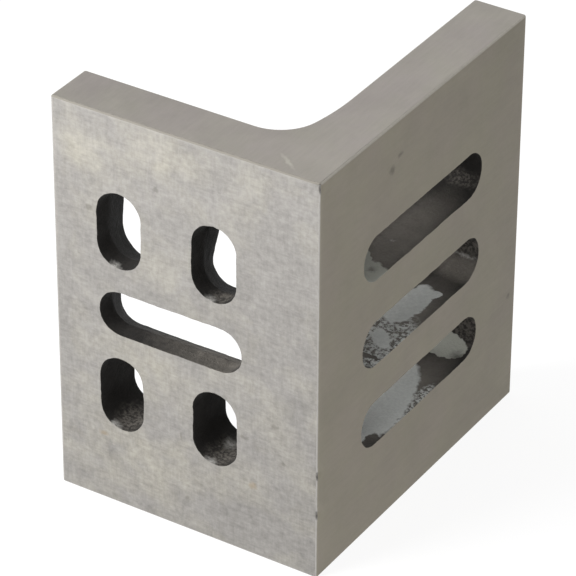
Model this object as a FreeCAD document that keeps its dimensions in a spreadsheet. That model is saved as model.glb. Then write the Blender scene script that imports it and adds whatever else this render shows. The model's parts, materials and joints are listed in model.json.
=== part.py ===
import FreeCAD, Part
import Sketcher
import math
import os
from collections import namedtuple

# Angle plate, cast in one piece: two legs at a right angle, with round-ended slots through both.
# In the body's own frame the outer corner edge stands on the origin, the front leg runs along -X,
# the side leg along +Y, and both stand on z = 0. The body's placement then brings the middle of
# its box over the origin.

SIZES = {
    # Legs, from the outer corner to each tip, and how high both stand
    "height": 114.3,
    "front_leg_length": 76.9,
    "side_leg_length": 97.4,
    "front_leg_thickness": 14.7,
    "side_leg_thickness": 15.0,
    # Inner corner: a tight round that runs out into a long sweep up the side leg
    "corner_radius": 11.3,
    "sweep_radius": 69.0,
    "sweep_reach": 23.3,
    # Outer edges: the four upright edges of the leg tips, and all the others
    "tip_radius": 1.1,
    "edge_radius": 0.7,
    # Front leg: two columns of upright slots, in an upper and a lower row
    "upright_slot_width": 12.9,
    "upright_slot_length": 21.4,
    "far_column_inset": 19.3,
    "near_column_reach": 29.9,
    "upper_row_inset": 32.4,
    "lower_row_height": 33.8,
    # Front leg: one level slot, midway between the rows
    "centre_slot_width": 12.5,
    "centre_slot_tip_inset": 13.1,
    "centre_slot_corner_inset": 22.0,
    # Front leg: three slots open out into wider mouths on the inner face. A mouth drops below its
    # slot and stands out beside it, with a flat between the corner rounds of its foot and head.
    "mouth_depth": 9.5,
    "mouth_rise": 0.5,
    "far_mouth_drop": 5.6,
    "far_mouth_foot_side": 2.6,
    "far_mouth_foot_flat": 0.9,
    "far_mouth_head_side": 1.8,
    "far_mouth_head_flat": 3.3,
    "near_mouth_drop": 4.9,
    "near_mouth_foot_side": 3.5,
    "near_mouth_foot_flat": 7.9,
    "near_mouth_head_side": 0.2,
    "near_mouth_head_flat": 2.7,
    "centre_mouth_drop": 6.2,
    "centre_mouth_side": 3.9,
    "centre_mouth_radius": 5.9,
    # Side leg: three level slots, one over the other
    "level_slot_width": 12.9,
    "level_slot_tip_inset": 20.4,
    "level_slot_corner_inset": 20.4,
    "top_slot_inset": 34.1,
    "middle_slot_height": 55.1,
    "bottom_slot_height": 31.3,
}

# A slot's place is its middle, along the leg from the outer corner and up from the base. Its values
# and its mouth's are expressions in the sheet's sizes.
Slot = namedtuple("Slot", "label along height length width upright mouth")
Mouth = namedtuple("Mouth", "drop foot_flat foot_radius head_flat head_radius")

FAR_COLUMN = "Sizes.front_leg_length - Sizes.far_column_inset"
NEAR_COLUMN = "Sizes.near_column_reach"
UPPER_ROW = "Sizes.height - Sizes.upper_row_inset"
LOWER_ROW = "Sizes.lower_row_height"


def upright_slot(label, along, height, mouth=None):
    length, width = "Sizes.upright_slot_length", "Sizes.upright_slot_width"
    return Slot(label, along, height, length, width, True, mouth)


def level_slot(label, start, end, height, width, mouth=None):
    """A slot from start to end along the leg."""
    return Slot(label, f"({start} + {end}) / 2", height, f"{end} - {start}", width, False, mouth)


def upright_mouth(name):
    """The mouth of an upright slot, wider at its foot than at its head."""
    mouth = f"Sizes.{name}_mouth"
    half_slot = "Sizes.upright_slot_width / 2"
    foot_radius, head_radius = (
        f"({half_slot} + {mouth}_{end}_side - {mouth}_{end}_flat / 2)" for end in ("foot", "head")
    )
    return Mouth(f"{mouth}_drop", f"{mouth}_foot_flat", foot_radius, f"{mouth}_head_flat", head_radius)


FRONT_SLOTS = [
    upright_slot("UpperFar", FAR_COLUMN, UPPER_ROW, upright_mouth("far")),
    upright_slot("UpperNear", NEAR_COLUMN, UPPER_ROW, upright_mouth("near")),
    upright_slot("LowerFar", FAR_COLUMN, LOWER_ROW),
    upright_slot("LowerNear", NEAR_COLUMN, LOWER_ROW),
]

CENTRE_SLOT_START = "Sizes.centre_slot_corner_inset"
CENTRE_SLOT_END = "(Sizes.front_leg_length - Sizes.centre_slot_tip_inset)"
CENTRE_SLOT_HEIGHT = f"({UPPER_ROW} + {LOWER_ROW}) / 2"
CENTRE_RADIUS = "Sizes.centre_mouth_radius"
CENTRE_FLAT = f"({CENTRE_SLOT_END} - {CENTRE_SLOT_START} + 2 * (Sizes.centre_mouth_side - {CENTRE_RADIUS}))"
FRONT_SLOTS.append(
    level_slot(
        "Centre",
        CENTRE_SLOT_START,
        CENTRE_SLOT_END,
        CENTRE_SLOT_HEIGHT,
        "Sizes.centre_slot_width",
        Mouth("Sizes.centre_mouth_drop", CENTRE_FLAT, CENTRE_RADIUS, CENTRE_FLAT, CENTRE_RADIUS),
    )
)

LEVEL_SLOT_START = "Sizes.level_slot_corner_inset"
LEVEL_SLOT_END = "(Sizes.side_leg_length - Sizes.level_slot_tip_inset)"
SIDE_SLOTS = [
    level_slot(label, LEVEL_SLOT_START, LEVEL_SLOT_END, height, "Sizes.level_slot_width")
    for label, height in (
        ("Top", "Sizes.height - Sizes.top_slot_inset"),
        ("Middle", "Sizes.middle_slot_height"),
        ("Bottom", "Sizes.bottom_slot_height"),
    )
]

START, END, CENTRE = 1, 2, 3
ORIGIN = (-1, START)
UP = FreeCAD.Vector(0, 0, 1)
FRONT_LEG, SIDE_LEG = "XZ_Plane", "YZ_Plane"
# Nearer than this, in millimetres, counts as the same place
TOUCH = 0.01


def point(x, y):
    return FreeCAD.Vector(x, y, 0)


def make_sheet(doc):
    """The sheet of driving sizes, one to a row."""
    sheet = doc.addObject("Spreadsheet::Sheet", "Sizes")
    for row, (alias, millimetres) in enumerate(SIZES.items(), start=1):
        sheet.set(f"A{row}", alias.replace("_", " "))
        sheet.set(f"B{row}", str(millimetres))
        sheet.setAlias(f"B{row}", alias)
    doc.recompute()
    return sheet


def new_sketch(body, label, role, depth=None):
    """A sketch on one of the body's origin planes, or at a depth into the leg behind it."""
    plane = next(item for item in body.Origin.OriginFeatures if item.Role == role)
    sketch = body.newObject("Sketcher::SketchObject", label)
    sketch.AttachmentSupport = [(plane, "")]
    sketch.MapMode = "FlatFace"
    if depth:
        sketch.setExpression("AttachmentOffset.Base.z", f"-({depth})")
    return sketch


def add_dimension(sketch, sheet, name, expression, kind, *where):
    """A named dimension of the sketch, bound to the sheet."""
    now = float(sheet.evalExpression(expression))
    index = sketch.addConstraint(Sketcher.Constraint(kind, *where, now))
    sketch.renameConstraint(index, name)
    sketch.setExpression(f"Constraints.{name}", expression)


def draw_outline(sketch, sheet):
    """The L of the two legs in plan, with the two arcs of its inner corner."""
    front_tip_x = -sheet.front_leg_length
    front_inner_y = sheet.front_leg_thickness
    side_tip_y = sheet.side_leg_length
    side_inner_x = -sheet.side_leg_thickness

    # The arcs touch with one inside the other's circle, so their centres lie the difference of
    # the radii apart
    sweep_centre = point(side_inner_x - sheet.sweep_radius, front_inner_y + sheet.sweep_reach)
    corner_below = sheet.sweep_reach - sheet.corner_radius
    corner_beside = math.sqrt((sheet.sweep_radius - sheet.corner_radius) ** 2 - corner_below**2)
    corner_centre = sweep_centre + point(corner_beside, -corner_below)
    meeting_angle = math.atan2(-corner_below, corner_beside)
    corner_circle = Part.Circle(corner_centre, UP, sheet.corner_radius)
    sweep_circle = Part.Circle(sweep_centre, UP, sheet.sweep_radius)

    corners = [
        point(front_tip_x, front_inner_y),
        point(front_tip_x, 0),
        point(0, 0),
        point(0, side_tip_y),
        point(side_inner_x, side_tip_y),
    ]
    front_back, front_tip, front_face, side_face, side_tip, side_back = sketch.addGeometry(
        [
            Part.LineSegment(point(corner_centre.x, front_inner_y), corners[0]),
            *(Part.LineSegment(a, b) for a, b in zip(corners, corners[1:])),
            Part.LineSegment(corners[-1], point(side_inner_x, sweep_centre.y)),
        ]
    )
    sweep_arc, corner_arc = sketch.addGeometry(
        [
            Part.ArcOfCircle(sweep_circle, meeting_angle, 0),
            Part.ArcOfCircle(corner_circle, -math.pi / 2, meeting_angle),
        ]
    )

    around = [front_back, front_tip, front_face, side_face, side_tip, side_back]
    for before, after in zip(around, around[1:]):
        sketch.addConstraint(Sketcher.Constraint("Coincident", before, END, after, START))
    for level in (front_back, front_face, side_tip):
        sketch.addConstraint(Sketcher.Constraint("Horizontal", level))
    for upright in (front_tip, side_face, side_back):
        sketch.addConstraint(Sketcher.Constraint("Vertical", upright))
    sketch.addConstraint(Sketcher.Constraint("Tangent", side_back, END, sweep_arc, END))
    sketch.addConstraint(Sketcher.Constraint("Tangent", sweep_arc, START, corner_arc, END))
    sketch.addConstraint(Sketcher.Constraint("Tangent", corner_arc, START, front_back, START))
    sketch.addConstraint(Sketcher.Constraint("Coincident", front_face, END, *ORIGIN))

    sweep_start = "Sizes.front_leg_thickness + Sizes.sweep_reach"
    for name, expression, kind, *where in (
        ("FrontLength", "Sizes.front_leg_length", "DistanceX", front_face, START, *ORIGIN),
        ("FrontThickness", "Sizes.front_leg_thickness", "DistanceY", *ORIGIN, front_back, END),
        ("SideLength", "Sizes.side_leg_length", "DistanceY", *ORIGIN, side_face, END),
        ("SideThickness", "Sizes.side_leg_thickness", "DistanceX", side_tip, END, *ORIGIN),
        ("CornerRadius", "Sizes.corner_radius", "Radius", corner_arc),
        ("SweepRadius", "Sizes.sweep_radius", "Radius", sweep_arc),
        ("SweepStart", sweep_start, "DistanceY", *ORIGIN, side_back, END),
    ):
        add_dimension(sketch, sheet, name, expression, kind, *where)


def draw_slot(sketch, sheet, slot, role):
    """One slot's outline, as seen on a leg's outer face."""
    away = -1 if role == FRONT_LEG else 1
    between_centres = f"{slot.length} - ({slot.width})"
    along, height, apart, width = (
        float(sheet.evalExpression(value)) for value in (slot.along, slot.height, between_centres, slot.width)
    )
    middle = point(away * along, height)
    half_run = point(0, apart / 2) if slot.upright else point(apart / 2, 0)
    beside = point(width / 2, 0) if slot.upright else point(0, -width / 2)
    side_angle = math.atan2(beside.y, beside.x)
    upper_circle = Part.Circle(middle + half_run, UP, width / 2)
    lower_circle = Part.Circle(middle - half_run, UP, width / 2)

    edges = sketch.addGeometry(
        [
            Part.ArcOfCircle(upper_circle, side_angle, side_angle + math.pi),
            Part.LineSegment(middle + half_run - beside, middle - half_run - beside),
            Part.ArcOfCircle(lower_circle, side_angle + math.pi, side_angle + 2 * math.pi),
            Part.LineSegment(middle - half_run + beside, middle + half_run + beside),
        ]
    )
    upper_end, side, lower_end, _ = edges
    for before, after in zip(edges, edges[1:] + edges[:1]):
        sketch.addConstraint(Sketcher.Constraint("Tangent", before, END, after, START))
    sketch.addConstraint(Sketcher.Constraint("Equal", upper_end, lower_end))
    sketch.addConstraint(Sketcher.Constraint("Vertical" if slot.upright else "Horizontal", side))

    # The dimensions run to the centre of the end that is lower, or further left in the sketch
    end_along, end_height = slot.along, slot.height
    if slot.upright:
        end_height = f"{slot.height} - ({between_centres}) / 2"
    else:
        end_along = f"{slot.along} - {away} * ({between_centres}) / 2"
    centres = (lower_end, CENTRE, upper_end, CENTRE)
    from_corner = (lower_end, CENTRE, *ORIGIN) if role == FRONT_LEG else (*ORIGIN, lower_end, CENTRE)
    for name, expression, kind, *where in (
        ("EndRadius", f"({slot.width}) / 2", "Radius", lower_end),
        ("Run", between_centres, "DistanceY" if slot.upright else "DistanceX", *centres),
        ("Along", end_along, "DistanceX", *from_corner),
        ("Height", end_height, "DistanceY", *ORIGIN, lower_end, CENTRE),
    ):
        add_dimension(sketch, sheet, slot.label + name, expression, kind, *where)


def draw_mouth(sketch, sheet, slot):
    """The wider outline that a slot of the front leg has on the inner face."""
    mouth = slot.mouth
    tall = slot.length if slot.upright else slot.width
    foot_height = f"{slot.height} - ({tall}) / 2 - {mouth.drop} + {mouth.foot_radius}"
    head_height = f"{slot.height} + ({tall}) / 2 + Sizes.mouth_rise - {mouth.head_radius}"
    middle, foot_flat, foot_radius, foot_y, head_flat, head_radius, head_y = (
        float(sheet.evalExpression(value))
        for value in (
            slot.along,
            mouth.foot_flat,
            mouth.foot_radius,
            foot_height,
            mouth.head_flat,
            mouth.head_radius,
            head_height,
        )
    )

    # Each side line touches two corner rounds, at one angle from both their centres
    foot, head = point(foot_flat / 2, foot_y), point(head_flat / 2, head_y)
    lean = math.atan2(head.y - foot.y, head.x - foot.x)
    touching = lean - math.acos((foot_radius - head_radius) / (head - foot).Length)
    outwards = point(math.cos(touching), math.sin(touching))
    right = [
        foot + point(0, -foot_radius),
        foot + outwards * foot_radius,
        head + outwards * head_radius,
        head + point(0, head_radius),
    ]
    left = [point(-place.x, place.y) for place in right]

    def round_off(side, centre, radius, begin, end):
        place = point(side * centre.x - middle, centre.y)
        return Part.ArcOfCircle(Part.Circle(place, UP, radius), begin, end)

    def line(begin, end):
        return Part.LineSegment(begin - point(middle, 0), end - point(middle, 0))

    quarter = math.pi / 2
    edges = sketch.addGeometry(
        [
            round_off(1, foot, foot_radius, -quarter, touching),
            line(right[1], right[2]),
            round_off(1, head, head_radius, touching, quarter),
            line(right[3], left[3]),
            round_off(-1, head, head_radius, quarter, math.pi - touching),
            line(left[2], left[1]),
            round_off(-1, foot, foot_radius, math.pi - touching, math.pi + quarter),
            line(left[0], right[0]),
        ]
    )
    foot_right, _, head_right, head_line, head_left, _, foot_left, foot_line = edges
    for before, after in zip(edges, edges[1:] + edges[:1]):
        sketch.addConstraint(Sketcher.Constraint("Tangent", before, END, after, START))
    for level in (foot_line, head_line):
        sketch.addConstraint(Sketcher.Constraint("Horizontal", level))
    for name, flat, radius, height, one, other in (
        ("Foot", mouth.foot_flat, mouth.foot_radius, foot_height, foot_left, foot_right),
        ("Head", mouth.head_flat, mouth.head_radius, head_height, head_left, head_right),
    ):
        sketch.addConstraint(Sketcher.Constraint("Equal", one, other))
        from_corner = (other, CENTRE, *ORIGIN)
        add_dimension(sketch, sheet, name + "Radius", radius, "Radius", other)
        add_dimension(sketch, sheet, name + "Flat", flat, "DistanceX", one, CENTRE, other, CENTRE)
        add_dimension(sketch, sheet, name + "Along", f"{slot.along} - {flat} / 2", "DistanceX", *from_corner)
        add_dimension(sketch, sheet, name + "Height", height, "DistanceY", *ORIGIN, other, CENTRE)


def round_edges(body, base, label, radius, chosen):
    """Round the chosen edges of the solid so far."""
    names = [f"Edge{i}" for i, edge in enumerate(base.Shape.Edges, start=1) if chosen(edge)]
    fillet = body.newObject("PartDesign::Fillet", label)
    fillet.Base = (base, names)
    fillet.setExpression("Radius", radius)
    return fillet


def cut_slots(body, label, sketch, depth):
    """Cut the sketch's outlines from its plane into the leg and out of its back.

    Gives the volume of the metal cut away.
    """
    before = body.Shape.Volume
    pocket = body.newObject("PartDesign::Pocket", label)
    pocket.Profile = sketch
    pocket.Type = "Length"
    pocket.setExpression("Length", depth)
    body.Document.recompute()
    return before - body.Shape.Volume


def cut_mouth(body, sheet, slot):
    """Open a slot out, from where its straight land ends to the inner face."""
    land_end = "Sizes.front_leg_thickness - Sizes.mouth_depth"
    throat = new_sketch(body, slot.label + "Throat", FRONT_LEG, land_end)
    draw_slot(throat, sheet, slot, FRONT_LEG)
    mouth = new_sketch(body, slot.label + "Mouth", FRONT_LEG, "Sizes.front_leg_thickness")
    draw_mouth(mouth, sheet, slot)
    flare = body.newObject("PartDesign::SubtractiveLoft", slot.label + "Flare")
    flare.Profile = throat
    flare.Sections = [mouth]
    flare.Ruled = True
    # The metal of the inner corner reaches further in, beside the mouth
    cut_slots(body, slot.label + "MouthClearance", mouth, "Sizes.corner_radius")


def make_plate(doc, sheet):
    body = doc.addObject("PartDesign::Body", "AnglePlate")
    body.Label = "angle_plate"

    outline = new_sketch(body, "LegOutline", "XY_Plane")
    draw_outline(outline, sheet)
    legs = body.newObject("PartDesign::Pad", "Legs")
    legs.Profile = outline
    legs.setExpression("Length", "Sizes.height")
    doc.recompute()

    def is_tip(edge):
        """Upright, at the tip of a leg."""
        box = edge.BoundBox
        at_front_tip = abs(box.XMin + sheet.front_leg_length) < TOUCH
        at_side_tip = abs(box.YMax - sheet.side_leg_length) < TOUCH
        return box.ZLength > TOUCH and (at_front_tip or at_side_tip)

    def is_rim(edge):
        """Around the top or the base, or the outer corner."""
        box = edge.BoundBox
        at_corner = box.XMin > -TOUCH and box.YMax < TOUCH
        return box.ZLength < TOUCH or at_corner

    tips = round_edges(body, legs, "TipRounds", "Sizes.tip_radius", is_tip)
    doc.recompute()
    round_edges(body, tips, "EdgeRounds", "Sizes.edge_radius", is_rim)
    doc.recompute()

    front_sketch = new_sketch(body, "FrontSlotOutlines", FRONT_LEG)
    for slot in FRONT_SLOTS:
        draw_slot(front_sketch, sheet, slot, FRONT_LEG)
    front_depth = "Sizes.front_leg_thickness + Sizes.corner_radius"
    front_metal = cut_slots(body, "FrontSlots", front_sketch, front_depth)
    for slot in FRONT_SLOTS:
        if slot.mouth:
            cut_mouth(body, sheet, slot)

    side_sketch = new_sketch(body, "SideSlotOutlines", SIDE_LEG)
    for slot in SIDE_SLOTS:
        draw_slot(side_sketch, sheet, slot, SIDE_LEG)
    side_depth = "Sizes.side_leg_thickness + Sizes.corner_radius"
    side_metal = cut_slots(body, "SideSlots", side_sketch, side_depth)
    if min(front_metal, side_metal) <= 0:
        raise ValueError("the slots of a leg cut nothing")

    body.setExpression("Placement.Base.x", "Sizes.front_leg_length / 2")
    body.setExpression("Placement.Base.y", "-Sizes.side_leg_length / 2")
    doc.recompute()
    return body


def check(doc, bodies):
    """Stop if any object failed or any sub-part isn't one sound solid."""
    for item in doc.Objects:
        if "Invalid" in item.State or "Error" in item.State:
            raise ValueError(f"{item.Label} failed: {item.State}")
    for body in bodies:
        if body.Shape.isNull() or not body.Shape.isValid() or len(body.Shape.Solids) != 1:
            raise ValueError(f"{body.Label} isn't one sound solid")


doc = FreeCAD.newDocument("AnglePlate")
sizes = make_sheet(doc)
bodies = [make_plate(doc, sizes)]
check(doc, bodies)
os.makedirs("parts", exist_ok=True)
for body in bodies:
    box = body.Shape.BoundBox
    print(f"{body.Label}: {box.XLength:.2f} x {box.YLength:.2f} x {box.ZLength:.2f} mm,", end=" ")
    print(f"{body.Shape.Volume / 1000:.2f} cm3")
    body.Shape.exportStep(f"parts/{body.Label}.step")
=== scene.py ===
"""Visual model of a cast iron angle plate: one casting with milled faces and cored slots."""

import json
import math

import bpy
from bpy.props import FloatProperty, FloatVectorProperty, PointerProperty
from mathutils import Matrix, Vector

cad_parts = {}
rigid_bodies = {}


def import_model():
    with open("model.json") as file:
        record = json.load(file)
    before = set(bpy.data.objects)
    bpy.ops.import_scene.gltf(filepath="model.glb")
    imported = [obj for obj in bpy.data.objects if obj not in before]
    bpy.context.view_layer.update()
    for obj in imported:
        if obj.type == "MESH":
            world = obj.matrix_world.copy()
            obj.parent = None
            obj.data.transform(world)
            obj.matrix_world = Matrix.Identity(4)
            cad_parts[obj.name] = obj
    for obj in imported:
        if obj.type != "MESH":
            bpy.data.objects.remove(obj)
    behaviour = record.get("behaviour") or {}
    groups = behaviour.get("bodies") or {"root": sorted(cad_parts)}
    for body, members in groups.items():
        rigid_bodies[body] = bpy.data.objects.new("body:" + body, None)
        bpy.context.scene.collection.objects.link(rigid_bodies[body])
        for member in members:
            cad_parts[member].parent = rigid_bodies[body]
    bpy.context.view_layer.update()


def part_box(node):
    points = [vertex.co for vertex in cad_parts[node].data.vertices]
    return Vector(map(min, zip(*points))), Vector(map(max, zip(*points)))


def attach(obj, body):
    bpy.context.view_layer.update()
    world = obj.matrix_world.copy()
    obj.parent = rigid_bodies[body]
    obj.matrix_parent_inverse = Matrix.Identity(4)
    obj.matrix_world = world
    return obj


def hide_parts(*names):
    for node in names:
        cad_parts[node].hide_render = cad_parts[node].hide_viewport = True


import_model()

bl_info = {
    "name": "Angle plate",
    "version": (1, 0, 0),
    "blender": (4, 5, 0),
    "location": "3D View > Sidebar > Angle Plate",
    "description": "Models, finishes and lights a cast iron angle plate",
    "category": "Object",
}

MM = 0.001
NODE = "angle_plate"
LOW, HIGH = (Vector(corner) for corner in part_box(NODE))

# Places closer than this are one place, and faces this near a flat face are part of it.
TOUCHING = 0.01 * MM
CLOSE = 0.05 * MM
# A face whose normal lies along an axis at least this closely is square on to it.
SQUARE_ON = 0.999

# Edges around each arc of the profile and of a slot, and across a rounded edge.
CORNER_STEPS, SWEEP_STEPS, TIP_STEPS, EDGE_STEPS, SLOT_STEPS, BEVEL_STEPS = 14, 12, 6, 5, 12, 3

# Spacing of the mesh along a slot's wall, and how deep the cores reach, past the inner faces.
WALL_SPACING = 0.8 * MM
FRONT_CORE_DEPTH = 20.4 * MM
SIDE_CORE_DEPTH = 18.5 * MM

# A slot's rounded lip, from above the face inwards, as (outwards, depth) in rim radii. The plain
# wall starts below it.
LIP = ((1.2, -2.0), (0.5, 0.0), (0.15, 0.45))
LIP_END = 1.4

# How a sand mould leaves the slots' walls: name, size of the lumps and their height in
# millimetres, and the share of it that goes into the slot's opening.
CAST_LAYERS = (("core lumps", 5.0, 0.3, 0.7), ("core grain", 1.3, 0.25, 0.6))

# A slot's outline is four corners, (x, y, radius) in millimetres from its middle, anticlockwise
# from the lower left as seen from outside. Mouths are the wider outlines on the inner face.
MOUTHS = {
    "upper_far": ((-9.6, -16.3, 8.6), (9.6, -16.3, 8.6), (7.8, 11.2, 6.6), (-7.8, 11.2, 6.6)),
    "upper_near": ((-11.4, -15.6, 6.0), (11.4, -15.6, 6.0), (5.6, 11.2, 5.3), (-5.6, 11.2, 5.3)),
    "centre": ((-24.8, -12.5, 5.9), (24.8, -12.5, 5.9), (24.8, 6.75, 5.9), (-24.8, 6.75, 5.9)),
}
# Slots of the front leg, millimetres: name, centre x, centre z, width and height.
FRONT_SLOTS = (
    ("upper_far", -19.15, 81.9, 12.9, 21.4),
    ("upper_near", 8.55, 81.9, 12.9, 21.4),
    ("centre", -4.45, 57.85, 41.8, 12.5),
    ("lower_far", -19.15, 33.8, 12.9, 21.4),
    ("lower_near", 8.55, 33.8, 12.9, 21.4),
)
# Level slots of the side leg, millimetres: name, centre y, centre z, width and height.
SIDE_SLOTS = (
    ("top", 0.0, 80.2, 56.6, 12.9),
    ("middle", 0.0, 55.1, 56.6, 12.9),
    ("bottom", 0.0, 31.3, 56.6, 12.9),
)

# Heights of the nicks in the outer corner's edge, millimetres, how much of the edge each knocks in
# and how far the metal about it gives way.
NICKS = (112.9, 30.8, 19.1)
NICK_SPAN = 0.6 * MM
NICK_REACH = 1.6 * MM

# Marks on the front working face, millimetres: x, z, reach along x and reach along z.
YELLOWED = ((-28.0, 102.0, 13.0, 9.0), (-3.0, 108.0, 16.0, 8.0), (-12.0, 17.0, 34.0, 13.0),
            (-14.0, 48.0, 14.0, 8.0))
WIPED = ((26.0, 84.0, 11.0, 34.0), (20.0, 8.0, 22.0, 7.0), (-39.0, 70.0, 7.0, 52.0))
FLECKS = ((26.1, 41.0, 1.3, 1.0), (17.4, 34.7, 1.6, 0.8), (0.2, 9.7, 1.0, 1.2),
          (28.5, 31.0, 0.9, 0.9), (-1.5, 28.0, 0.6, 1.8), (-8.0, 97.5, 1.1, 1.0),
          (-28.0, 86.0, 1.5, 1.0))
RUST_SPECKS = ((19.7, 21.0, 1.5, 1.3), (-25.0, 20.0, 1.6, 1.1))
# Marks on the side working face, millimetres: y, z, reach along y and reach along z.
SMEARS = ((-16.0, 101.6, 1.6, 1.6), (-12.3, 104.2, 1.6, 0.9), (44.9, 32.5, 1.0, 1.0))
# Marks elsewhere, millimetres: middle and reach along each axis, and a turn about Z if it has one.
SCRATCH = (((26.5, -44.0, HIGH.z / MM), (5.2, 0.7, 1.0), -0.62),)
# On the slots' walls: rubbed brown, dust, and painted light and shade.
# Rubbed brown iron, which also paints light on the slots' up-facing floors and on the middle level
# slot's far end.
RUBBED_AND_LIT = (
    ((33.0, -3.0, 73.7), (9.0, 30.0, 9.0)), ((33.0, -4.0, 48.6), (9.0, 32.0, 9.0)),
    ((33.0, -3.0, 24.8), (9.0, 30.0, 8.0)), ((20.0, -42.0, 48.7), (44.0, 17.0, 5.5)),
    ((34.5, 25.0, 50.5), (9.0, 6.0, 4.5)),
)
# Dusty skin, which also paints light into the floors of the front slots and the level slots' far
# ends.
DUST_AND_LIGHT = (
    ((-19.0, -43.0, 23.0), (8.0, 8.0, 3.5)), ((8.5, -43.0, 23.0), (7.0, 9.0, 3.5)),
    ((10.0, -46.0, 71.2), (5.0, 3.0, 2.5)), ((36.0, 26.5, 50.3), (7.0, 4.0, 3.5)),
    ((36.0, 28.3, 32.5), (9.0, 5.5, 8.0)), ((34.0, 27.0, 76.0), (6.0, 3.0, 3.0)),
    ((35.5, 28.0, 56.5), (7.0, 3.5, 4.5)),
)
# Painted shade deep in the front leg's upper slots and in the centre slot's left end.
DEEP_SHADE = (((-19.2, -35.0, 80.0), (15.0, 9.5, 19.0)), ((8.6, -35.0, 80.0), (15.0, 9.5, 19.0)),
         ((-25.0, -36.0, 58.0), (9.0, 9.0, 9.0)))
# Pale primer left whole or flaking in the level slots, and bare spots in it.
WHOLE = (
    ((30.3, -4.5, 24.85), (7.4, 21.5, 4.0), 0.2), ((31.2, 6.0, 48.65), (4.6, 10.5, 3.5)),
    ((34.6, 13.5, 48.65), (1.6, 2.2, 2.0)), ((33.5, -11.0, 48.65), (2.2, 5.0, 3.0), 0.75),
)
FLAKING = (((33.0, -13.0, 49.0), (8.5, 16.5, 4.0)), ((37.6, -3.0, 24.85), (2.4, 13.0, 3.0)))
BARE = (((36.8, -21.0, 24.85), (2.0, 3.6, 2.5)), ((33.6, -19.5, 48.65), (5.5, 1.0, 2.0)))
# Primer worn to a thin film, and where the film is worn away.
THIN = (((33.0, -24.2, 75.0), (9.5, 9.4, 6.0)), ((32.3, 24.3, 26.4), (6.0, 4.2, 3.6)),
        ((31.7, -17.2, 73.75), (7.0, 2.0, 2.5), 2.13))
WORN_AWAY = (((34.9, -18.9, 73.75), (1.5, 2.0, 1.5)), ((36.5, 23.0, 25.0), (3.5, 2.5, 2.0)))
# Painted highlights in bare iron's tone: glints on the front slots' lower rims and along the middle
# level slot's far end, and a small pale fleck on the top level slot's floor.
RIM_GLINTS = (
    ((-21.0, -48.5, 71.4), (2.4, 2.2, 1.3)), ((7.0, -48.4, 71.3), (2.2, 1.9, 1.2)),
    ((-21.7, -48.6, 23.6), (2.4, 2.0, 1.3)), ((6.6, -48.3, 23.3), (2.4, 1.9, 1.2)),
    ((34.8, 27.9, 52.8), (4.2, 1.0, 0.7)), ((32.4, -4.9, 73.75), (0.8, 0.8, 0.8)),
    ((6.9, -39.6, 23.3), (2.6, 2.6, 1.2)),
)

# Noises of the finishes, in waves per millimetre, with the size of their lumps. Real cutter marks
# are 0.1 to 0.3 mm apart, and sand grains and primer flakes 0.2 to 0.3 mm wide. Both are too fine
# to show in the render, so they are drawn about three times as coarse.
MOTTLE = {"Scale": 0.62, "Detail": 4.0, "Roughness": 0.7}  # 1.6 mm
STAIN_CLOUDS = {"Scale": 0.13, "Detail": 4.0, "Roughness": 0.62, "Distortion": 0.5}  # 8 mm
OIL_HUE = {"Scale": 0.085, "Detail": 4.0, "Roughness": 0.6, "Distortion": 0.4}  # 12 mm
STROKES = {"Scale": 1.0, "Detail": 4.0, "Roughness": 0.65}  # 0.6 by 5 mm, once stretched
STROKE_RELIEF = {"Scale": 1.0, "Detail": 3.0, "Roughness": 0.6}  # as the strokes
GROUND_GRAIN = {"Scale": 0.8, "Detail": 4.0, "Roughness": 0.7}  # 1.2 mm
GROUND_CLOUDS = {"Scale": 0.07, "Detail": 3.0, "Roughness": 0.55, "Distortion": 0.3}  # 14 mm
GROUND_HUE = {"Scale": 0.05, "Detail": 4.0, "Roughness": 0.6}  # 20 mm
EDGE_WEAR = {"Scale": 0.5, "Detail": 4.0, "Roughness": 0.7}  # 2 mm
CAST_LUMPS = {"Scale": 0.25, "Detail": 3.0, "Roughness": 0.6}  # 4 mm
CAST_GRAIN = {"Scale": 1.3, "Detail": 5.0, "Roughness": 0.75}  # 0.8 mm
SPECKS = {"Scale": 1.2, "Detail": 3.0, "Roughness": 0.6}  # 0.8 mm
INNER_LUMPS = {"Scale": 0.2, "Detail": 3.0, "Roughness": 0.6}  # 5 mm
INNER_GRAIN = {"Scale": 1.1, "Detail": 5.0, "Roughness": 0.7}  # 0.9 mm
INNER_WEAR = {"Scale": 0.09, "Detail": 5.0, "Roughness": 0.7}  # 11 mm
PAPER_FIBRE = {"Scale": 0.8, "Detail": 3.0}  # 1.2 mm

# sRGB hex codes of the small marks' colours and of the paper.
FLECK, RUST, SMEAR, RUB = "5e5a52", "a08a66", "4f4b43", "c0bdb2"
NICK_DIRT, THIN_PRIMER = "3b3831", "3a362f"
PAPER, PAPER_PALE = "e6e6e6", "ebebeb"

# The lamps' places and widths, the floor's radius, all in metres, and the glow with which the
# paper looks white to the camera through its cover.
KEY_PLACE, KEY_SIZE = (-0.25, -0.35, 0.33), 0.35
FILL_PLACE, FILL_SIZE = (0.0, 0.2, 1.5), 1.2
FLOOR_RADIUS = 6.0
PAPER_GLOW = 1.16

# The camera's sensor width and lens, millimetres.
SENSOR_WIDTH = 36.0
LENS = 242.3


def colour(code):
    """Linear colour of an sRGB hex code."""
    parts = [int(code[i:i + 2], 16) / 255 for i in (0, 2, 4)]
    return [p / 12.92 if p <= 0.04045 else ((p + 0.055) / 1.055) ** 2.4 for p in parts]


def length(name, description, millimetres):
    return FloatProperty(name=name, description=description, default=millimetres * MM,
                         min=0.0, unit="LENGTH", precision=5)


def paint(name, description, code):
    return FloatVectorProperty(name=name, description=description, default=colour(code),
                               min=0.0, max=1.0, subtype="COLOR", size=3)


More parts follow.
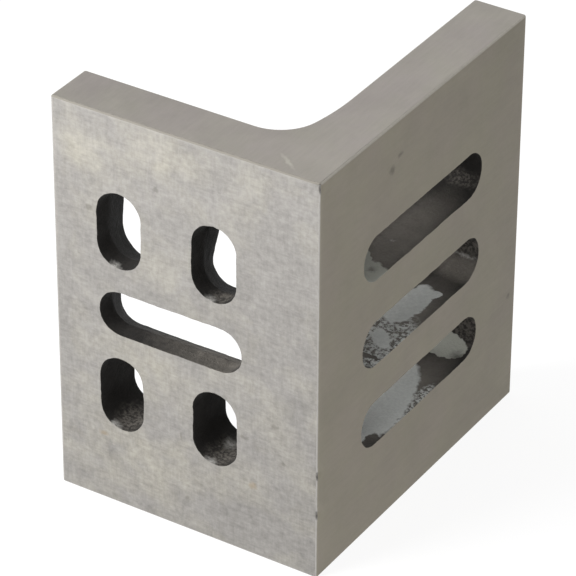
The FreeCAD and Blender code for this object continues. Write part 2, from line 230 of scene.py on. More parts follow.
class CastingSizes(bpy.types.PropertyGroup):
    """Sizes of the casting that the solid's box doesn't give."""

    front_thickness: length("Front leg", "Thickness of the leg with the upright slots", 14.7)
    side_thickness: length("Side leg", "Thickness of the leg with the level slots", 15.0)
    corner_radius: length("Corner radius", "Small arc of the inner corner", 11.3)
    sweep_radius: length("Sweep radius", "Long arc from the inner corner onto the side leg", 69.0)
    sweep_reach: length("Sweep reach", "Where the long arc ends, from the front leg's inner face",
                        23.3)
    tip_radius: length("Tip radius", "Rounding of the legs' upright end edges", 0.7)
    edge_radius: length("Edge radius", "Rounding of the milled edges", 0.5)
    rim_radius: length("Rim radius", "Rounding of the slots' rims", 0.25)
    mouth_depth: length("Mouth depth", "Depth over which a mouth opens", 9.5)
    grid: length("Mesh spacing", "Spacing of the mesh lines on the faces", 1.2)
    nick_depth: length("Nick depth", "Depth of the nicks in the outer corner's edge", 0.45)


class CastingFinish(bpy.types.PropertyGroup):
    """Colours and finish of the iron."""

    iron: paint("Milled iron", "Clean milled iron of the front leg's working face", "a5a29e")
    iron_oiled: paint("Oiled iron", "The same iron where old oil has yellowed it", "b6b2a8")
    # Partly painted shade: the ground ends' tone is darkened to the shade that the top lies in.
    end_iron_shaded: paint("Ground ends", "Darker ground iron of the two ends", "99958d")
    # Painted shade: the side face's tone is the milled iron made darker and warmer, as the side
    # lies in shade.
    side_iron_shaded: paint("Side face", "Shaded iron of the side leg's working face", "878274")
    core_dark: paint("Cored walls", "Oxidised cast skin in the slots", "242220")
    # Also the tone of the painted light on the slots' floors and far ends.
    core_brown: paint("Rubbed walls", "Cast skin rubbed to bare brown iron", "7a756e")
    core_pale: paint("Slot primer", "Remains of pale primer in the level slots", "e4e6e2")
    core_film: paint("Primer film", "Primer worn down to a thin greenish film", "b9bab0")
    # Painted highlight: the tone of the glints on the slots' rims and far end.
    glinting: paint("Glinting rims", "Bare iron at the slots' chipped rims", "b4b2ad")
    inner_paint: paint("Inner faces", "Primer over the cast inner faces", "8d8e89")


class StageSettings(bpy.types.PropertyGroup):
    """Camera and light."""

    azimuth: FloatProperty(name="Azimuth", description="Camera's turn about the plate",
                           default=math.radians(32.21), subtype="ANGLE")
    elevation: FloatProperty(name="Elevation", description="Camera's height angle",
                             default=math.radians(32.85), subtype="ANGLE")
    roll: FloatProperty(name="Roll", description="Camera's turn about its own axis",
                        default=math.radians(-0.32), subtype="ANGLE")
    distance: length("Distance", "Camera to the outer corner's foot, along the view", 961.88)
    height: length("Height", "Camera's offset upwards, across the view", 72.07)
    offset: length("Offset", "Camera's offset to the left, across the view", 7.03)
    key_power: FloatProperty(name="Key power", description="Soft lamp at the upper front left",
                             default=3.2, min=0.0, unit="POWER")
    fill_power: FloatProperty(name="Fill power", description="Soft lamp over the plate",
                              default=1.0, min=0.0, unit="POWER")
    sky: FloatProperty(name="Sky", description="Even light of the room", default=0.5, min=0.0)
    floor_white: FloatProperty(name="Floor white", description="How far the floor's white hides "
                               "the plate's shadow", default=0.75, min=0.0, max=1.0)


def deselect():
    bpy.ops.object.select_all(action="DESELECT")


def activate(obj):
    deselect()
    obj.select_set(True)
    bpy.context.view_layer.objects.active = obj


def pick(obj, kind, wanted):
    """Leaves obj in edit mode with just the vertices, edges or faces selected that are wanted."""
    bpy.ops.object.mode_set(mode="EDIT")
    bpy.ops.mesh.select_mode(type=kind)
    bpy.ops.mesh.select_all(action="DESELECT")
    bpy.ops.object.mode_set(mode="OBJECT")
    mesh = obj.data
    for part in {"VERT": mesh.vertices, "EDGE": mesh.edges, "FACE": mesh.polygons}[kind]:
        part.select = wanted(part)
    bpy.ops.object.mode_set(mode="EDIT")


def settle(obj):
    """Puts the object's turn and place into its mesh."""
    activate(obj)
    bpy.ops.object.transform_apply(location=True, rotation=True, scale=True)


def start_line(x, y, z):
    """One selected vertex to draw a line from, in edit mode."""
    bpy.ops.mesh.primitive_plane_add(size=MM, location=(x, y, z))
    bpy.ops.mesh.merge(type="CENTER")


def run(dx, dy, spacing=0.0, steps=0):
    """Carries the line on straight, in steps or with vertices about the spacing apart."""
    steps = steps or max(1, round(math.hypot(dx, dy) / spacing))
    bpy.ops.mesh.extrude_repeat(steps=steps, offset=(dx / steps, dy / steps, 0.0))


def turn(x, y, angle, steps):
    """Carries the line on round a centre; a positive angle turns left."""
    bpy.ops.mesh.spin(steps=steps, angle=angle, center=(x, y, 0.0), axis=(0.0, 0.0, -1.0))


def close_line():
    bpy.ops.mesh.select_linked()
    bpy.ops.mesh.remove_doubles(threshold=TOUCHING)


def new_mesh(name):
    """An object with an empty mesh, in edit mode."""
    deselect()
    bpy.ops.mesh.primitive_plane_add(size=MM)
    obj = bpy.context.object
    obj.name = obj.data.name = name
    bpy.ops.object.mode_set(mode="EDIT")
    bpy.ops.mesh.select_mode(type="VERT")
    bpy.ops.mesh.select_all(action="SELECT")
    bpy.ops.mesh.delete(type="VERT")
    return obj


def nick(blank, sizes, z):
    """Knocks the outer corner's edge in at a height."""
    near = sizes.edge_radius
    pick(blank, "VERT", lambda v: abs(v.co.z - z * MM) < NICK_SPAN
         and v.co.x > HIGH.x - near and v.co.y < LOW.y + near)
    bpy.ops.transform.translate(value=(-sizes.nick_depth, sizes.nick_depth, 0.0),
                                use_proportional_edit=True, proportional_size=NICK_REACH,
                                proportional_edit_falloff="SMOOTH")
    bpy.ops.object.mode_set(mode="OBJECT")


def make_blank(sizes):
    """The two legs and the inner corner between them, before the slots."""
    grid = sizes.grid
    inner_y = LOW.y + sizes.front_thickness
    inner_x = HIGH.x - sizes.side_thickness
    sweep = Vector((inner_x - sizes.sweep_radius, inner_y + sizes.sweep_reach))
    below = sizes.sweep_reach - sizes.corner_radius
    beside = math.sqrt((sizes.sweep_radius - sizes.corner_radius) ** 2 - below ** 2)
    corner = sweep + Vector((beside, -below))
    meet = math.atan2(below, beside)

    tip = sizes.tip_radius
    edge = 0.8 * sizes.edge_radius  # the outer corner is a little sharper than the other edges

    blank = new_mesh("plate_casting")
    start_line(LOW.x + tip, inner_y, 0.0)
    run(corner.x - LOW.x - tip, 0.0, grid)
    turn(corner.x, corner.y, math.pi / 2 - meet, CORNER_STEPS)
    turn(sweep.x, sweep.y, meet, SWEEP_STEPS)
    run(0.0, HIGH.y - tip - sweep.y, grid)
    turn(inner_x + tip, HIGH.y - tip, -math.pi / 2, TIP_STEPS)
    run(sizes.side_thickness - 2 * tip, 0.0, grid)
    turn(HIGH.x - tip, HIGH.y - tip, -math.pi / 2, TIP_STEPS)
    run(0.0, LOW.y + edge - HIGH.y + tip, grid)
    turn(HIGH.x - edge, LOW.y + edge, -math.pi / 2, EDGE_STEPS)
    run(LOW.x + tip - HIGH.x + edge, 0.0, grid)
    turn(LOW.x + tip, LOW.y + tip, -math.pi / 2, TIP_STEPS)
    run(0.0, sizes.front_thickness - 2 * tip, grid)
    turn(LOW.x + tip, inner_y - tip, -math.pi / 2, TIP_STEPS)
    close_line()

    rows = round(HIGH.z / grid)
    bpy.ops.mesh.extrude_repeat(steps=rows, offset=(0.0, 0.0, HIGH.z / rows))
    for level in (0.0, HIGH.z):
        pick(blank, "VERT", lambda v, z=level: abs(v.co.z - z) < TOUCHING)
        bpy.ops.mesh.edge_face_add()
    bpy.ops.mesh.select_all(action="SELECT")
    bpy.ops.mesh.normals_make_consistent(inside=False)
    points = blank.data.vertices
    pick(blank, "EDGE", lambda e: all(
        min(points[i].co.z, HIGH.z - points[i].co.z) < TOUCHING for i in e.vertices))
    bpy.ops.mesh.bevel(offset=sizes.edge_radius, segments=BEVEL_STEPS, profile=0.5,
                       affect="EDGES")
    bpy.ops.object.mode_set(mode="OBJECT")
    return blank


def draw_outline(corners, depth, steps):
    """A closed outline with rounded corners, at a depth below the face; steps are per side."""
    arcs = []
    for i, (x, y, radius) in enumerate(corners):
        here = Vector((x, y))
        before = (Vector(corners[i - 1][:2]) - here).normalized()
        after = (Vector(corners[(i + 1) % 4][:2]) - here).normalized()
        half = before.angle(after) / 2
        reach = radius / math.tan(half)
        centre = here + (before + after).normalized() * radius / math.sin(half)
        arcs.append((here + before * reach, here + after * reach, centre, math.pi - 2 * half))
    start_line(*arcs[0][1], -depth)
    for i in range(4):
        begin, end, centre, angle = arcs[(i + 1) % 4]
        run(*(begin - arcs[i][1]), steps=steps[i % 2])
        turn(*centre, angle, SLOT_STEPS)
    close_line()


def rounded(width, height, out=0.0):
    """Corners of a round-ended slot, grown outwards. The radius is just under half of the width,
    so that every side keeps a length."""
    x, y = width / 2 + out, height / 2 + out
    radius = 0.49 * min(width, height) + out
    return tuple((i * x, j * y, radius) for i, j in ((-1, -1), (1, -1), (1, 1), (-1, 1)))


def make_core(name, sections, steps):
    """A solid the shape of one slot: sections are (corners, depth, rings up to the next one)."""
    core = new_mesh(name)
    for corners, depth, _ in sections:
        draw_outline(corners, depth, steps)
    for (_, upper, rings), (_, lower, _) in zip(sections, sections[1:]):
        pick(core, "EDGE", lambda e, pair=(upper, lower): all(
            min(abs(core.data.vertices[i].co.z + d) for d in pair) < TOUCHING
            for i in e.vertices))
        bpy.ops.mesh.bridge_edge_loops(number_cuts=rings, interpolation="LINEAR")
    top, bottom = -sections[0][1], -sections[-1][1]
    for level in (top, bottom):
        pick(core, "VERT", lambda v, z=level: abs(v.co.z - z) < TOUCHING)
        bpy.ops.mesh.edge_face_add()
    bpy.ops.mesh.select_all(action="SELECT")
    bpy.ops.mesh.normals_make_consistent(inside=False)
    bpy.ops.object.mode_set(mode="OBJECT")
    walls = core.vertex_groups.new(name="walls")
    walls.add([v.index for v in core.data.vertices
               if bottom + TOUCHING < v.co.z < top - TOUCHING], 1.0, "REPLACE")
    return core


def slot_sections(sizes, width, height, far, mouth=None):
    """The rounded lip at the face, the plain wall, and the opening mouth if there is one."""
    rim = sizes.rim_radius
    sections = [(rounded(width, height, out * rim), depth * rim, 0) for out, depth in LIP]
    plain = rounded(width, height)
    if mouth:
        land = sizes.front_thickness - sizes.mouth_depth
        sections += [(plain, LIP_END * rim, 5), (plain, land, 9),
                     (mouth, sizes.front_thickness, 4), (mouth, far, 0)]
    else:
        sections += [(plain, LIP_END * rim, 16), (plain, far, 0)]
    return sections


def front_core(sizes, name, x, z, width, height):
    width, height = width * MM, height * MM
    mouth = MOUTHS.get(name)
    if mouth:
        mouth = [tuple(value * MM for value in corner) for corner in mouth]
    steps = [max(2, round(side / WALL_SPACING)) for side in (width - height, height - width)]
    sections = slot_sections(sizes, width, height, FRONT_CORE_DEPTH, mouth)
    core = make_core("core_" + name, sections, steps)
    core.rotation_euler.x = math.pi / 2
    core.location = (x * MM, LOW.y, z * MM)
    settle(core)
    return core


def side_core(sizes, name, y, z, width, height):
    width, height = width * MM, height * MM
    steps = (round((width - height) / WALL_SPACING), 2)
    sections = slot_sections(sizes, width, height, SIDE_CORE_DEPTH)
    core = make_core("core_" + name, sections, steps)
    core.rotation_euler = (math.pi / 2, 0.0, math.pi / 2)
    core.location = (HIGH.x, y * MM, z * MM)
    settle(core)
    return core


def roughen(obj, name, size, strength, middle):
    """Pushes the walls in and out by soft noise, as a sand mould leaves them."""
    activate(obj)
    push = obj.modifiers.new(name, "DISPLACE")
    push.texture = bpy.data.textures.new(name, "CLOUDS")
    push.texture.noise_scale = size
    push.texture.noise_depth = 3
    push.strength = strength
    push.mid_level = middle
    push.vertex_group = "walls"
    bpy.ops.object.modifier_apply(modifier=push.name)


def make_cores(sizes):
    """All the slots' cores in one object, with cast walls."""
    cores = [front_core(sizes, *row) for row in FRONT_SLOTS]
    cores += [side_core(sizes, *row) for row in SIDE_SLOTS]
    deselect()
    for core in cores:
        core.select_set(True)
    bpy.context.view_layer.objects.active = cores[0]
    bpy.ops.object.join()
    joined = bpy.context.object
    for name, size, height, middle in CAST_LAYERS:
        roughen(joined, name, size * MM, height * MM, middle)
    return joined


def cut_slots(blank, cores, wall):
    """Cuts the cores out of the blank and leaves their finish on the slots' walls."""
    cores.data.materials.append(wall)
    activate(blank)
    cut = blank.modifiers.new("cored slots", "BOOLEAN")
    cut.operation = "DIFFERENCE"
    cut.solver = "EXACT"
    cut.material_mode = "TRANSFER"
    cut.object = cores
    bpy.ops.object.modifier_apply(modifier=cut.name)
    bpy.data.objects.remove(cores)


def weigh_normals(obj):
    """Keeps the flat faces flat up to their rounded edges."""
    activate(obj)
    flat = obj.modifiers.new("flat faces", "WEIGHTED_NORMAL")
    flat.keep_sharp = True
    bpy.ops.object.modifier_apply(modifier=flat.name)


def node(tree, kind, inputs=(), out=0, **settings):
    """Adds a shader node, sets it up, links or sets its inputs, and gives one of its outputs."""
    new = tree.nodes.new("ShaderNode" + kind)
    for key, value in settings.items():
        setattr(new, key, value)
    for key, value in inputs.items() if isinstance(inputs, dict) else enumerate(inputs):
        socket = new.inputs[key]
        if isinstance(value, bpy.types.NodeSocket):
            tree.links.new(value, socket)
        elif socket.type == "RGBA":
            socket.default_value = (*value[:3], 1.0)
        else:
            socket.default_value = value
    return new.outputs[out]


def new_material(name, metallic):
    material = bpy.data.materials.new(name)
    material.use_nodes = True
    tree = material.node_tree
    shader = tree.nodes["Principled BSDF"]
    shader.inputs["Metallic"].default_value = metallic
    return material, tree, shader


def in_millimetres(tree):
    """Places on the plate, in millimetres."""
    place = node(tree, "TexCoord", out="Object")
    return node(tree, "Mapping", {"Vector": place, "Scale": (1 / MM,) * 3})


def warped(tree, place, scale, amount):
    """The places pushed about by soft noise, which gives marks ragged outlines."""
    push = node(tree, "TexNoise", {"Vector": place, "Scale": scale, "Detail": 3.0}, "Color")
    push = node(tree, "VectorMath", (push, (0.5, 0.5, 0.5)), operation="SUBTRACT")
    push = node(tree, "VectorMath", {0: push, "Scale": amount}, operation="SCALE")
    return node(tree, "VectorMath", (place, push), operation="ADD")


def mark(tree, place, centre, reach, turned=0.0):
    """How deep a place lies in an ellipsoid turned about Z: 0 outside and 1 at its middle."""
    inside = node(tree, "Mapping", {"Vector": place, "Location": centre, "Scale": reach,
                                    "Rotation": (0.0, 0.0, turned)}, vector_type="TEXTURE")
    return node(tree, "TexGradient", (inside,), "Fac", gradient_type="SPHERICAL")


def covered(tree, place, marks):
    """The deepest of several marks."""
    depths = [mark(tree, place, *row) for row in marks]
    deepest = depths[0]
    for depth in depths[1:]:
        deepest = node(tree, "Math", (deepest, depth), operation="MAXIMUM")
    return deepest


def on_front(marks):
    return [((x, LOW.y / MM, z), (along, 2.0, up)) for x, z, along, up in marks]


def on_side(marks):
    return [((HIGH.x / MM, y, z), (2.0, along, up)) for y, z, along, up in marks]


def coated(tree, base, top, cover, low=0.0, high=1.0, most=1.0):
    """The base tone with another over it where the cover rises from low to high."""
    share = node(tree, "MapRange", (cover, low, high, 0.0, most))
    return node(tree, "Mix", {0: share, 6: base, 7: top}, 2, data_type="RGBA")


def uneven(tree, tone, noises, steady=()):
    """The tone made lighter and darker, by noises, each with how far it goes either way, and by
    steady values, which lie about 0."""
    shade = 1.0
    swings = [node(tree, "MapRange", (noise, 0.3, 0.7, -far, far)) for noise, far in noises]
    for value in (*swings, *steady):
        shade = node(tree, "Math", (shade, value), operation="ADD")
    grey = node(tree, "CombineXYZ", (shade,) * 3)
    return node(tree, "Mix", {0: 1.0, 6: tone, 7: grey}, 2, data_type="RGBA",
                blend_type="MULTIPLY")


def milled_front(name, iron, oiled):
    """Milled iron gone mottled: cloudy oil stains, fine cutter marks both ways and small flecks,
    and darker towards the foot with painted shade."""
    material, tree, shader = new_material(name, 0.8)
    place = in_millimetres(tree)
    level = node(tree, "Mapping", {"Vector": place, "Scale": (0.22, 1.0, 1.5)})
    upright = node(tree, "Mapping", {"Vector": place, "Scale": (1.7, 1.0, 0.2)})
    mottle = node(tree, "TexNoise", {"Vector": place, **MOTTLE})
    clouds = node(tree, "TexNoise", {"Vector": place, **STAIN_CLOUDS})
    hue = node(tree, "TexNoise", {"Vector": place, **OIL_HUE})
    level_strokes = node(tree, "TexNoise", {"Vector": level, **STROKES})
    upright_strokes = node(tree, "TexNoise", {"Vector": upright, **STROKES})

    soft = warped(tree, place, 0.12, 9.0)
    yellowed = covered(tree, soft, on_front(YELLOWED))
    wiped = covered(tree, soft, on_front(WIPED))
    oil = node(tree, "Math", (node(tree, "MapRange", (hue, 0.42, 0.66, 0.0, 0.55)),
                              node(tree, "MapRange", (yellowed, 0.0, 0.6, 0.0, 0.5))),
               operation="ADD")
    oil = node(tree, "Math", (oil, node(tree, "MapRange", (wiped, 0.0, 0.5, 0.0, 0.5))),
               operation="SUBTRACT")
    tone = coated(tree, iron, oiled, oil)
    # Painted shade: the tone darkens towards the foot.
    height = node(tree, "SeparateXYZ", (place,), "Z")
    tone = uneven(tree, tone, ((clouds, 0.07), (mottle, 0.1), (level_strokes, 0.07),
                               (upright_strokes, 0.05)),
                  (node(tree, "MapRange", (height, 0.0, 105.0, -0.2, -0.04)),))
    ragged = warped(tree, place, 0.8, 1.6)
    tone = coated(tree, tone, colour(FLECK), covered(tree, ragged, on_front(FLECKS)),
                  0.0, 0.6, 0.35)
    tone = coated(tree, tone, colour(RUST), covered(tree, ragged, on_front(RUST_SPECKS)),
                  0.0, 0.6, 0.35)
    tree.links.new(tone, shader.inputs["Base Color"])

    dull = node(tree, "Math", (mottle, clouds), operation="ADD")
    tree.links.new(node(tree, "MapRange", (dull, 0.7, 1.3, 0.66, 0.54)),
                   shader.inputs["Roughness"])
    relief = node(tree, "TexNoise", {"Vector": level, **STROKE_RELIEF})
    relief = node(tree, "Math", (mottle, relief), operation="ADD")
    tree.links.new(node(tree, "Bump", {"Height": relief, "Distance": 0.04 * MM}),
                   shader.inputs["Normal"])
    return material


def plain_iron(name, tone, stretch, painted_fall_off, smears=(), rubs=()):
    """Finely finished iron: nearly even, with faint lines along the cut, thin oily smears and
    brighter rubs, and painted light and shade that change the tone steadily along one axis, as the
    painted fall-off's axis and its shades at the two ends say."""
    material, tree, shader = new_material(name, 0.8)
    place = in_millimetres(tree)
    lines = node(tree, "Mapping", {"Vector": place, "Scale": stretch})
    lines = node(tree, "TexNoise", {"Vector": lines, **STROKE_RELIEF})
    grain = node(tree, "TexNoise", {"Vector": place, **GROUND_GRAIN})
    clouds = node(tree, "TexNoise", {"Vector": place, **GROUND_CLOUDS})
    hue = node(tree, "TexNoise", {"Vector": place, **GROUND_HUE})
    base = coated(tree, tone, (tone[0], tone[1] * 0.975, tone[2] * 1.025), hue, 0.38, 0.62)
    # Painted light and shade: the tone grows steadily lighter or darker along one axis.
    axis, near, far = painted_fall_off
    low, high = (corner["XYZ".index(axis)] / MM for corner in (LOW, HIGH))
    along = node(tree, "SeparateXYZ", (place,), axis)
    base = uneven(tree, base, ((clouds, 0.05), (grain, 0.035), (lines, 0.03)),
                  (node(tree, "MapRange", (along, low, high, near, far)),))
    ragged = warped(tree, place, 0.8, 1.4)
    if smears:
        base = coated(tree, base, colour(SMEAR), covered(tree, ragged, smears), 0.0, 0.7, 0.5)
    if rubs:
        base = coated(tree, base, colour(RUB), covered(tree, ragged, rubs), 0.0, 0.8, 0.4)
    tree.links.new(base, shader.inputs["Base Color"])
    tree.links.new(node(tree, "MapRange", (grain, 0.3, 0.7, 0.5, 0.6)),
                   shader.inputs["Roughness"])
    relief = node(tree, "Math", (lines, grain), operation="ADD")
    tree.links.new(node(tree, "Bump", {"Height": relief, "Distance": 0.02 * MM}),
                   shader.inputs["Normal"])
    return material


def worn_edge(name, sizes, front, side, end):
    """Edges rubbed by handling: one face's tone runs into the next one's, which carries the side's
    and ends' painted shade onto the roundings, with dark nicks, and the front's upper edge, which
    faces the lamp, is rougher and darker with painted shade against its highlight."""
    material, tree, shader = new_material(name, 0.8)
    place = in_millimetres(tree)
    at = node(tree, "SeparateXYZ", (place,)).node.outputs
    reach, top, corner = sizes.edge_radius / MM, HIGH.z / MM, HIGH.x / MM
    face = LOW.y / MM
    wear = node(tree, "TexNoise", {"Vector": place, **EDGE_WEAR})
    # Painted light and shade: the side's shaded tone takes only the outer part of the rounding, and
    # the ends' darker tone most of the upper rounding.
    tone = coated(tree, front, side, at["X"], corner - 0.3 * reach, corner)
    tone = coated(tree, tone, end, at["Z"], top - reach, top - 0.6 * reach)
    # Painted shade: the front's upper rounding, which faces the lamp, is darkened against its
    # highlight, and also roughened.
    rim_shade_and_roughness = node(tree, "Math", (
        node(tree, "MapRange", (at["Z"], top - reach, top - 0.8 * reach)),
        node(tree, "MapRange", (at["Y"], face + 1.2 * reach, face + reach))),
        operation="MULTIPLY")
    tone = uneven(tree, tone, ((wear, 0.12),),
                  (0.1, node(tree, "Math", (rim_shade_and_roughness, -0.12), operation="MULTIPLY")))
    nicks = covered(tree, warped(tree, place, 1.0, 1.2), [
        ((corner, face, z), (1.5, 1.5, 1.6)) for z in NICKS])
    tone = coated(tree, tone, colour(NICK_DIRT), nicks, 0.0, 0.8)
    tree.links.new(tone, shader.inputs["Base Color"])
    rough = node(tree, "MapRange", (wear, 0.3, 0.7, 0.5, 0.62))
    tree.links.new(node(tree, "Math", (rim_shade_and_roughness, 0.3, rough), operation="MULTIPLY_ADD"),
                   shader.inputs["Roughness"])
    tree.links.new(node(tree, "Bump", {"Height": wear, "Distance": 0.05 * MM}),
                   shader.inputs["Normal"])
    return material


def cast_wall(name, dark, brown, pale, film, glinting):
    """Sand-cast skin of the slots: near black and grainy, rubbed brown and lightened with painted
    light on the slots' up-facing floors and the level slots' far ends, and darkened with painted
    shade deep in the front leg's upper slots. Pale primer is left in the side leg's slots, whole,
    flaking or worn to a thin film, and painted highlights in bare iron's tone lie on the lower rims
    of the front leg's upright slots and along the middle level slot's far end."""
    material, tree, shader = new_material(name, 0.2)
    shader.inputs["Specular IOR Level"].default_value = 0.25
    place = in_millimetres(tree)
    lumps = node(tree, "TexNoise", {"Vector": place, **CAST_LUMPS})
    grain = node(tree, "TexNoise", {"Vector": place, **CAST_GRAIN})
    specks = node(tree, "TexNoise", {"Vector": place, **SPECKS})
    ragged = warped(tree, place, 0.5, 2.4)
    rough = warped(tree, place, 0.9, 2.0)

    skin = coated(tree, dark, [1.6 * part for part in dark], grain, 0.35, 0.7)
    # Rubbed brown, also painted light on the up-facing floors and a far end.
    skin = coated(tree, skin, brown, covered(tree, ragged, RUBBED_AND_LIT), 0.0, 0.6)
    # Dust, also painted light in dim floors and far ends.
    dust_and_light = node(tree, "Math", (
        node(tree, "MapRange", (covered(tree, ragged, DUST_AND_LIGHT), 0.0, 0.6, 0.0, 0.65)),
        node(tree, "MapRange", (specks, 0.42, 0.58, 0.15, 1.0))), operation="MULTIPLY")
    skin = coated(tree, skin, brown, dust_and_light)
    # Painted shade: darker deep in the slots.
    deep_shade = node(tree, "MapRange", (covered(tree, place, DEEP_SHADE), 0.0, 0.25, 0.0, -0.5))
    skin = uneven(tree, skin, ((grain, 0.16), (lumps, 0.1)), (deep_shade,))

    flakes = node(tree, "Math", (
        node(tree, "MapRange", (covered(tree, ragged, FLAKING), 0.0, 0.25)),
        node(tree, "MapRange", (specks, 0.43, 0.55, 0.0, 0.85))), operation="MULTIPLY")
    primer = node(tree, "MapRange", (covered(tree, ragged, WHOLE), 0.0, 0.1))
    primer = node(tree, "Math", (primer, flakes), operation="MAXIMUM")
    bare = node(tree, "MapRange", (covered(tree, ragged, BARE), 0.0, 0.2))
    primer = node(tree, "Math", (primer, bare), operation="SUBTRACT", use_clamp=True)

    thin = node(tree, "MapRange", (covered(tree, ragged, THIN), 0.0, 0.07, 0.0, 0.9))
    gone = node(tree, "MapRange", (covered(tree, rough, WORN_AWAY), 0.0, 0.8, 0.0, 0.6))
    thin = node(tree, "Math", (thin, gone), operation="SUBTRACT", use_clamp=True)

    # Painted highlights: glints on the rims and the middle level slot's far end.
    glints = node(tree, "Math", (
        node(tree, "MapRange", (covered(tree, rough, RIM_GLINTS), 0.0, 0.8)),
        node(tree, "MapRange", (grain, 0.25, 0.6))), operation="MULTIPLY")

    primed = coated(tree, pale, [0.85 * part for part in pale], lumps)
    primed = uneven(tree, primed, ((specks, 0.08),))
    shade = coated(tree, coated(tree, skin, film, thin), primed, primer)
    shade = coated(tree, shade, glinting, glints)
    tree.links.new(shade, shader.inputs["Base Color"])
    painted = node(tree, "Math", (primer, thin), operation="MAXIMUM")
    tree.links.new(node(tree, "MapRange", (painted, 0.0, 1.0, 0.2, 0.0)),
                   shader.inputs["Metallic"])
    tree.links.new(node(tree, "MapRange", (grain, 0.3, 0.7, 0.65, 0.85)),
                   shader.inputs["Roughness"])
    relief = node(tree, "Math", (grain, 0.5, lumps), operation="MULTIPLY_ADD")
    relief = node(tree, "Math", (primer, 0.3, relief), operation="MULTIPLY_ADD")
    tree.links.new(node(tree, "Bump", {"Height": relief, "Distance": 0.5 * MM}),
                   shader.inputs["Normal"])
    return material


def primed_casting(name, tone):
    """Thin grey primer over the sand-cast inner faces: grain shows through, thin spots are dark."""
    material, tree, shader = new_material(name, 0.0)
    place = in_millimetres(tree)
    lumps = node(tree, "TexNoise", {"Vector": place, **INNER_LUMPS})
    grain = node(tree, "TexNoise", {"Vector": place, **INNER_GRAIN})
    wear = node(tree, "TexNoise", {"Vector": place, **INNER_WEAR})
    shade = coated(tree, tone, [0.8 * part for part in tone], lumps, 0.35, 0.7)
    worn = node(tree, "Math", (grain, 0.3, wear), operation="MULTIPLY_ADD")
    shade = coated(tree, shade, colour(THIN_PRIMER), worn, 0.74, 0.82, 0.8)
    tree.links.new(shade, shader.inputs["Base Color"])
    tree.links.new(node(tree, "MapRange", (grain, 0.3, 0.7, 0.55, 0.75)),
                   shader.inputs["Roughness"])
    relief = node(tree, "Math", (grain, 0.35, lumps), operation="MULTIPLY_ADD")
    tree.links.new(node(tree, "Bump", {"Height": relief, "Distance": 0.4 * MM}),
                   shader.inputs["Normal"])
    return material


def surface_of(face, sizes):
    """Which finish a face of the blank has: front, side, end, inner or edge."""
    centre, normal = face.center, face.normal
    if abs(normal.z) > SQUARE_ON:
        return "end"
    if normal.y < -SQUARE_ON and centre.y < LOW.y + CLOSE:
        return "front"
    if normal.x > SQUARE_ON and centre.x > HIGH.x - CLOSE:
        return "side"
    if normal.x < -SQUARE_ON and centre.x < LOW.x + CLOSE:
        return "side"
    if normal.y > SQUARE_ON and centre.y > HIGH.y - CLOSE:
        return "front"
    in_edge = min(centre.z, HIGH.z - centre.z) < 1.01 * sizes.edge_radius
    inside = (centre.x < HIGH.x - sizes.side_thickness + CLOSE
              and centre.y > LOW.y + sizes.front_thickness - CLOSE)
    return "inner" if inside and not in_edge else "edge"


class ANGLEPLATE_OT_casting(bpy.types.Operator):
    """Models the casting with its cored slots and gives each surface its finish"""

    bl_idname = "angleplate.casting"
    bl_label = "Casting"
    bl_options = {"REGISTER", "UNDO"}

    def execute(self, context):
        sizes = context.scene.angle_plate_sizes
        finish = context.scene.angle_plate_finish
        casting = make_blank(sizes)
        finishes = {
            "front": milled_front("milled iron, working face", finish.iron, finish.iron_oiled),
            # The side's tone and its fall-off along Y, and the ends' partly darker tone and
            # fall-off along X, are painted light and shade.
            "side": plain_iron("milled iron, side face", finish.side_iron_shaded, (1.0, 0.15, 1.2),
                               ("Y", 0.08, -0.08), smears=on_side(SMEARS)),
            "end": plain_iron("ground iron, ends", finish.end_iron_shaded, (1.2, 0.15, 1.0),
                              ("X", -0.12, 0.0), rubs=SCRATCH),
            "edge": worn_edge("worn iron edge", sizes, finish.iron, finish.side_iron_shaded,
                              finish.end_iron_shaded),
            "inner": primed_casting("primed cast iron", finish.inner_paint),
        }
        names = list(finishes)
        for material in finishes.values():
            casting.data.materials.append(material)
        for face in casting.data.polygons:
            face.material_index = names.index(surface_of(face, sizes))
        for z in NICKS:
            nick(casting, sizes, z)
        wall = cast_wall("cast slot wall", finish.core_dark, finish.core_brown, finish.core_pale,
                         finish.core_film, finish.glinting)
        cut_slots(casting, make_cores(sizes), wall)
        activate(casting)
        bpy.ops.object.shade_smooth_by_angle(angle=math.radians(32))
        weigh_normals(casting)
        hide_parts(NODE)
        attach(casting, "root")
        return {"FINISHED"}


def area_lamp(name, place, aim, size, power):
    deselect()
    bpy.ops.object.light_add(type="AREA", location=place)
    lamp = bpy.context.object
    lamp.name = lamp.data.name = name
    lamp.data.shape = "DISK"
    lamp.data.size = size
    lamp.data.energy = power
    lamp.rotation_euler = (Vector(aim) - Vector(place)).to_track_quat("-Z", "Y").to_euler()


def seen_rays(tree):
    """1 for rays that show a surface to the camera, straight or in a reflection, and else 0."""
    rays = node(tree, "LightPath").node.outputs
    mirrored = node(tree, "Math", (rays["Is Glossy Ray"], rays["Is Transmission Ray"]),
                    operation="MAXIMUM")
    return node(tree, "Math", (rays["Is Camera Ray"], mirrored), operation="MAXIMUM")


def white_room(sky):
    """A world that is even soft light, and white wherever it is seen."""
    world = bpy.data.worlds.new("white room")
    world.use_nodes = True
    bpy.context.scene.world = world
    tree = world.node_tree
    tree.links.new(node(tree, "MapRange", (seen_rays(tree), 0.0, 1.0, sky, 1.0)),
                   tree.nodes["Background"].inputs["Strength"])
    tree.nodes["Background"].inputs["Color"].default_value = (1.0, 1.0, 1.0, 1.0)


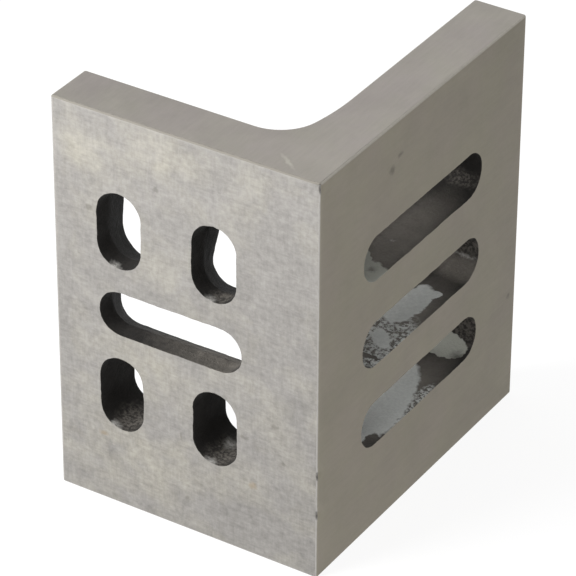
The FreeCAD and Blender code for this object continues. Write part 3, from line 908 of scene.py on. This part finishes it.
def paper_floor(cover):
    """Plain white paper, which looks white and keeps a faint soft shadow of the plate."""
    deselect()
    bpy.ops.mesh.primitive_circle_add(vertices=64, radius=FLOOR_RADIUS, fill_type="TRIFAN")
    floor = bpy.context.object
    floor.name = floor.data.name = "paper_floor"
    material, tree, shader = new_material("white paper", 0.0)
    fibre = node(tree, "TexNoise", {"Vector": in_millimetres(tree), **PAPER_FIBRE})
    tree.links.new(coated(tree, colour(PAPER), colour(PAPER_PALE), fibre),
                   shader.inputs["Base Color"])
    shader.inputs["Roughness"].default_value = 0.9
    shader.inputs["Specular IOR Level"].default_value = 0.1
    white = node(tree, "Emission", {"Color": (1.0, 1.0, 1.0), "Strength": PAPER_GLOW})
    share = node(tree, "Math", (seen_rays(tree), cover), operation="MULTIPLY")
    mixed = node(tree, "MixShader", (share, shader.outputs[0], white))
    tree.links.new(mixed, tree.nodes["Material Output"].inputs["Surface"])
    floor.data.materials.append(material)


class ANGLEPLATE_OT_stage(bpy.types.Operator):
    """Sets up the floor, the room, the lamps and the camera"""

    bl_idname = "angleplate.stage"
    bl_label = "Stage"
    bl_options = {"REGISTER", "UNDO"}

    def execute(self, context):
        settings = context.scene.angle_plate_stage
        context.scene.view_settings.view_transform = "Standard"
        white_room(settings.sky)
        paper_floor(settings.floor_white)
        middle = (0.0, 0.0, HIGH.z / 2)
        area_lamp("key", KEY_PLACE, middle, KEY_SIZE, settings.key_power)
        area_lamp("fill", FILL_PLACE, middle, FILL_SIZE, settings.fill_power)

        a, e, r = settings.azimuth, settings.elevation, settings.roll
        back = Vector((math.sin(a) * math.cos(e), -math.cos(a) * math.cos(e), math.sin(e)))
        level = Vector((math.cos(a), math.sin(a), 0.0))
        rise = back.cross(level)
        right = math.cos(r) * level - math.sin(r) * rise
        up = math.sin(r) * level + math.cos(r) * rise
        foot = Vector((HIGH.x, LOW.y, 0.0))
        place = (foot + settings.distance * back + settings.height * up
                 - settings.offset * right)
        deselect()
        bpy.ops.object.camera_add(location=place)
        camera = context.object
        camera.matrix_world = Matrix((
            (right.x, up.x, back.x, place.x),
            (right.y, up.y, back.y, place.y),
            (right.z, up.z, back.z, place.z),
            (0.0, 0.0, 0.0, 1.0)))
        camera.data.sensor_width = SENSOR_WIDTH
        camera.data.lens = LENS
        context.scene.camera = camera
        return {"FINISHED"}


class ANGLEPLATE_PT_panel(bpy.types.Panel):
    """Lists the casting, its finish and the stage"""

    bl_idname = "ANGLEPLATE_PT_panel"
    bl_label = "Angle Plate"
    bl_space_type = "VIEW_3D"
    bl_region_type = "UI"
    bl_category = "Angle Plate"

    def draw(self, context):
        layout = self.layout
        for group in (context.scene.angle_plate_sizes, context.scene.angle_plate_finish,
                      context.scene.angle_plate_stage):
            box = layout.box()
            for key in group.__annotations__:
                box.prop(group, key)
        for operator in (ANGLEPLATE_OT_casting, ANGLEPLATE_OT_stage):
            layout.operator(operator.bl_idname)


CLASSES = (CastingSizes, CastingFinish, StageSettings,
           ANGLEPLATE_OT_casting, ANGLEPLATE_OT_stage, ANGLEPLATE_PT_panel)


def register():
    for cls in CLASSES:
        bpy.utils.register_class(cls)
    bpy.types.Scene.angle_plate_sizes = PointerProperty(type=CastingSizes)
    bpy.types.Scene.angle_plate_finish = PointerProperty(type=CastingFinish)
    bpy.types.Scene.angle_plate_stage = PointerProperty(type=StageSettings)


def unregister():
    del bpy.types.Scene.angle_plate_stage
    del bpy.types.Scene.angle_plate_finish
    del bpy.types.Scene.angle_plate_sizes
    for cls in reversed(CLASSES):
        bpy.utils.unregister_class(cls)


def main():
    register()
    bpy.ops.angleplate.casting()
    bpy.ops.angleplate.stage()


if __name__ == "__main__":
    main()
